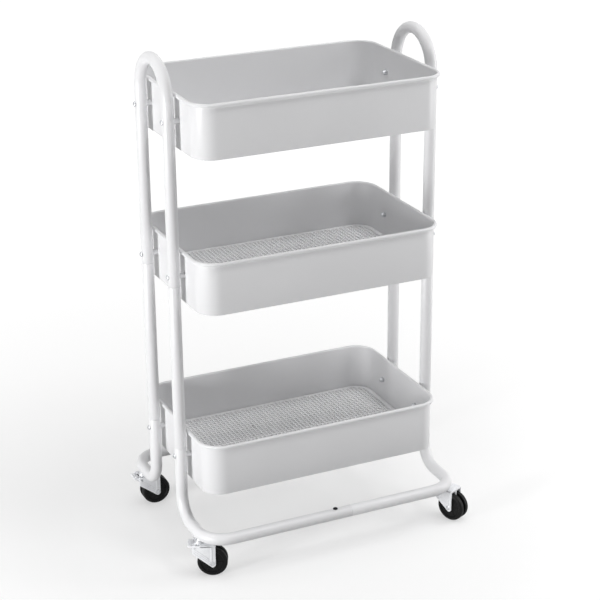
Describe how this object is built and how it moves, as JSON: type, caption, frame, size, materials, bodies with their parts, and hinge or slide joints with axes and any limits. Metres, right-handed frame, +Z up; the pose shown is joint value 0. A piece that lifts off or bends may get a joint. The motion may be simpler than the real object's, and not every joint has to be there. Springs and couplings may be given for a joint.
{
  "type": "utility cart",
  "caption": "Tall narrow rolling utility cart: rounded metal trays with mesh floors hung between looped tube end frames on swivel casters.",
  "frame": {"origin": "on the floor, under the middle of the cart", "axes": "+X along the trays, from one end frame to the other; +Y from the front to the rear; +Z up"},
  "size_m": [0.4873, 0.349, 0.81],
  "materials": {
    "frame_paint": "satin white powder coat",
    "tray_paint": "satin white powder coat",
    "mesh_paint": "satin white powder coat",
    "screw_steel": "zinc plated",
    "black_screw": "black oxide",
    "stem_steel": "zinc plated",
    "hood_plastic": "smooth moulded",
    "wheel_plastic": "smooth moulded"
  },
  "bodies": {
    "frame": {"handle_left": "frame_paint", "handle_right": "frame_paint", "leg_front_left": "frame_paint", "leg_front_right": "frame_paint", "leg_rear_left": "frame_paint", "leg_rear_right": "frame_paint", "base_front_left": "frame_paint", "base_front_right": "frame_paint", "base_rear_left": "frame_paint", "base_rear_right": "frame_paint", "rail_screws": "black_screw", "tray_top": "tray_paint", "tray_middle": "tray_paint", "tray_bottom": "tray_paint", "mesh_top": "mesh_paint", "mesh_middle": "mesh_paint", "mesh_bottom": "mesh_paint", "spacers_top": "frame_paint", "spacers_middle": "frame_paint", "spacers_bottom": "frame_paint", "screws_top": "screw_steel", "screws_middle": "screw_steel", "screws_bottom": "screw_steel", "cap_nuts_top": "screw_steel", "cap_nuts_middle": "screw_steel", "cap_nuts_bottom": "screw_steel", "stem_front_left": "stem_steel", "stem_front_right": "stem_steel", "stem_rear_left": "stem_steel", "stem_rear_right": "stem_steel"},
    "swivel_front_left": {"hood_front_left": "hood_plastic", "axle_front_left": "stem_steel"},
    "wheel_a_front_left": {"wheel_a_front_left": "wheel_plastic"},
    "wheel_b_front_left": {"wheel_b_front_left": "wheel_plastic"},
    "swivel_front_right": {"hood_front_right": "hood_plastic", "axle_front_right": "stem_steel"},
    "wheel_a_front_right": {"wheel_a_front_right": "wheel_plastic"},
    "wheel_b_front_right": {"wheel_b_front_right": "wheel_plastic"},
    "swivel_rear_left": {"hood_rear_left": "hood_plastic", "axle_rear_left": "stem_steel"},
    "wheel_a_rear_left": {"wheel_a_rear_left": "wheel_plastic"},
    "wheel_b_rear_left": {"wheel_b_rear_left": "wheel_plastic"},
    "swivel_rear_right": {"hood_rear_right": "hood_plastic", "axle_rear_right": "stem_steel"},
    "wheel_a_rear_right": {"wheel_a_rear_right": "wheel_plastic"},
    "wheel_b_rear_right": {"wheel_b_rear_right": "wheel_plastic"},
    "brake_front_left": {"brake_lever_front_left": "hood_plastic"},
    "brake_rear_left": {"brake_lever_rear_left": "hood_plastic"}
  },
  "joints": [
    {"name": "swivel_front_left", "type": "hinge", "parent": "frame", "child": "swivel_front_left", "pos_m": [-0.219, -0.128, 0.06], "axis": [0, 0, 1], "continuous": true},
    {"name": "spin_a_front_left", "type": "hinge", "parent": "swivel_front_left", "child": "wheel_a_front_left", "pos_m": [-0.20087, -0.13645, 0.024], "axis": [0.4226, 0.9063, 0], "continuous": true},
    {"name": "spin_b_front_left", "type": "hinge", "parent": "swivel_front_left", "child": "wheel_b_front_left", "pos_m": [-0.20087, -0.13645, 0.024], "axis": [0.4226, 0.9063, 0], "continuous": true},
    {"name": "swivel_front_right", "type": "hinge", "parent": "frame", "child": "swivel_front_right", "pos_m": [0.219, -0.128, 0.06], "axis": [0, 0, 1], "continuous": true},
    {"name": "spin_a_front_right", "type": "hinge", "parent": "swivel_front_right", "child": "wheel_a_front_right", "pos_m": [0.22745, -0.14613, 0.024], "axis": [0.9063, 0.4226, 0], "continuous": true},
    {"name": "spin_b_front_right", "type": "hinge", "parent": "swivel_front_right", "child": "wheel_b_front_right", "pos_m": [0.22745, -0.14613, 0.024], "axis": [0.9063, 0.4226, 0], "continuous": true},
    {"name": "swivel_rear_left", "type": "hinge", "parent": "frame", "child": "swivel_rear_left", "pos_m": [-0.219, 0.128, 0.06], "axis": [0, 0, 1], "continuous": true},
    {"name": "spin_a_rear_left", "type": "hinge", "parent": "swivel_rear_left", "child": "wheel_a_rear_left", "pos_m": [-0.199, 0.128, 0.024], "axis": [0, 1, 0], "continuous": true},
    {"name": "spin_b_rear_left", "type": "hinge", "parent": "swivel_rear_left", "child": "wheel_b_rear_left", "pos_m": [-0.199, 0.128, 0.024], "axis": [0, 1, 0], "continuous": true},
    {"name": "swivel_rear_right", "type": "hinge", "parent": "frame", "child": "swivel_rear_right", "pos_m": [0.219, 0.128, 0.06], "axis": [0, 0, 1], "continuous": true},
    {"name": "spin_a_rear_right", "type": "hinge", "parent": "swivel_rear_right", "child": "wheel_a_rear_right", "pos_m": [0.20168, 0.138, 0.024], "axis": [-0.5, -0.866, 0], "continuous": true},
    {"name": "spin_b_rear_right", "type": "hinge", "parent": "swivel_rear_right", "child": "wheel_b_rear_right", "pos_m": [0.20168, 0.138, 0.024], "axis": [-0.5, -0.866, 0], "continuous": true},
    {"name": "brake_front_left", "type": "hinge", "parent": "swivel_front_left", "child": "brake_front_left", "pos_m": [-0.22534, -0.12504, 0.0508], "axis": [-0.4226, -0.9063, 0], "range_deg": [0, 25]},
    {"name": "brake_rear_left", "type": "hinge", "parent": "swivel_rear_left", "child": "brake_rear_left", "pos_m": [-0.226, 0.128, 0.0508], "axis": [0, -1, 0], "range_deg": [0, 25]}
  ]
}
